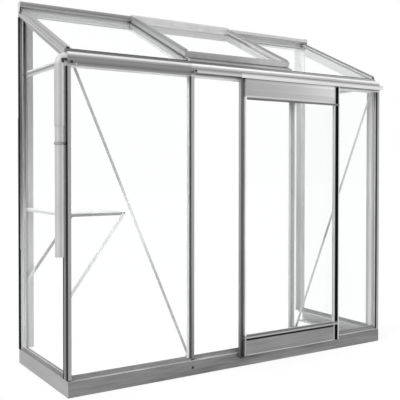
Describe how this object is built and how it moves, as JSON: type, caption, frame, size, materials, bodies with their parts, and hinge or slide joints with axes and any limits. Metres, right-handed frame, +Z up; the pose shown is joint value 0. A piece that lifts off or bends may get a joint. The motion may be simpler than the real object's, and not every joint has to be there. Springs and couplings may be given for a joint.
{
  "type": "three-bay lean-to glass greenhouse with a sliding door",
  "caption": "Lean-to glass greenhouse in plain aluminium with a sloping glass roof, a roof vent, a sliding front door, a gutter with downpipe and an inside shelf.",
  "frame": {"origin": "middle of the front on the outer plane of the front glass, at the underside of the plinth", "axes": "+X along the front to the right seen from outside, +Y from the front glass to the house wall, +Z up"},
  "size_m": [2.3358, 0.849, 2.2163],
  "materials": {
    "mill_aluminium": "mill finish, lightly brushed along each profile",
    "pipe_plastic": "light grey, smooth",
    "clear_glass": "clear, polished",
    "black_nylon": "matt"
  },
  "bodies": {
    "house": {"plinth_front": "mill_aluminium", "plinth_left": "mill_aluminium", "plinth_right": "mill_aluminium", "front_sill": "mill_aluminium", "end_sills": "mill_aluminium", "corner_post_left": "mill_aluminium", "corner_post_right": "mill_aluminium", "wall_post_left": "mill_aluminium", "wall_post_right": "mill_aluminium", "glazing_bar_left": "mill_aluminium", "glazing_bar_right": "mill_aluminium", "eaves_gutter": "mill_aluminium", "end_ties": "mill_aluminium", "gable_rafter_left": "mill_aluminium", "gable_rafter_right": "mill_aluminium", "roof_bar_left": "mill_aluminium", "roof_bar_right": "mill_aluminium", "ridge_plate": "mill_aluminium", "front_braces": "mill_aluminium", "vent_sill": "mill_aluminium", "vent_frame": "mill_aluminium", "vent_hinge": "mill_aluminium", "door_track": "mill_aluminium", "shelf_frame": "mill_aluminium", "shelf_board": "mill_aluminium", "shelf_struts": "mill_aluminium", "pipe_clip": "mill_aluminium", "gutter_outlet": "pipe_plastic", "downpipe": "pipe_plastic", "ridge_caps": "pipe_plastic", "front_glass_left": "clear_glass", "front_glass_right": "clear_glass", "end_glass_left": "clear_glass", "end_glass_right": "clear_glass", "roof_glass_left": "clear_glass", "roof_glass_right": "clear_glass", "vent_glass": "clear_glass"},
    "door": {"door_stile_left": "mill_aluminium", "door_stile_right": "mill_aluminium", "door_header": "mill_aluminium", "door_kick_rail": "mill_aluminium", "door_kick_panel": "mill_aluminium", "door_glass": "clear_glass", "door_rollers": "black_nylon", "door_guides": "black_nylon"}
  },
  "joints": [
    {"name": "door_slide", "type": "slide", "parent": "house", "child": "door", "axis": [1, 0, 0], "range_m": [-0.338, 0.385]}
  ]
}
